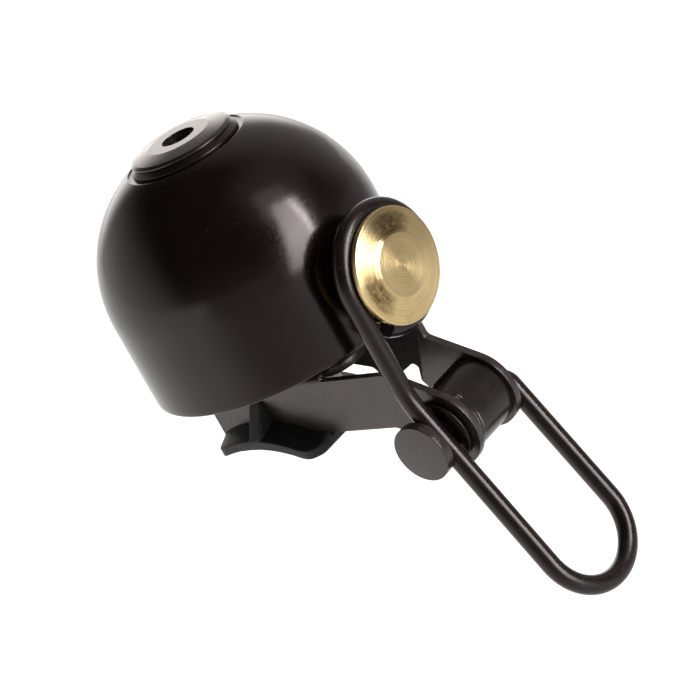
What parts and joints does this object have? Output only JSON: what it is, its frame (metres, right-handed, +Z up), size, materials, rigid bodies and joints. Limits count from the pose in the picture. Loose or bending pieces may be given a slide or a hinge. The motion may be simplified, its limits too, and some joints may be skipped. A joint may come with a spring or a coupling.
{
  "type": "bicycle bell",
  "caption": "Domed handlebar bell with a swinging wire striker, a turned brass hammer, a finger loop, a sheet-metal bracket and a rubber saddle.",
  "frame": {"origin": "middle of the flat land at the crown of the saddle's underside, where the bell rests on the handlebar", "axes": "+Z up along the dome's axis; +X from the dome to the hammer; +Y along the pivot pin, away from its button head and along the handlebar"},
  "size_m": [0.0531, 0.037, 0.0696],
  "materials": {
    "dome_coating": "gloss",
    "black_steel": "satin",
    "bracket_plate": "satin",
    "bright_steel": "satin",
    "brass": "turned",
    "rubber": "matte",
    "nylon": "matte"
  },
  "bodies": {
    "mounting": {"bell_dome": "dome_coating", "dome_screw": "black_steel", "screw_washer": "bright_steel", "dome_grommet": "nylon", "isolator_washer": "rubber", "centre_post": "bright_steel", "post_collar": "bright_steel", "bracket": "bracket_plate", "post_lock_washer": "bright_steel", "post_nut": "bright_steel", "saddle_pad": "rubber", "pivot_barrel": "black_steel", "torsion_spring": "bright_steel", "near_bushing": "nylon", "far_bushing": "nylon"},
    "striker": {"near_thrust_washer": "bright_steel", "pivot_pin": "black_steel", "striker_wire": "black_steel", "hammer_front": "brass", "hammer_back": "brass", "strike_nose": "brass"}
  },
  "joints": [
    {"name": "striker_swing", "type": "hinge", "parent": "mounting", "child": "striker", "pos_m": [0.0307, 0, -0.0015], "axis": [0, 1, 0], "range_deg": [-1.5, 32], "stiffness_Nm_per_rad": 0.03}
  ]
}
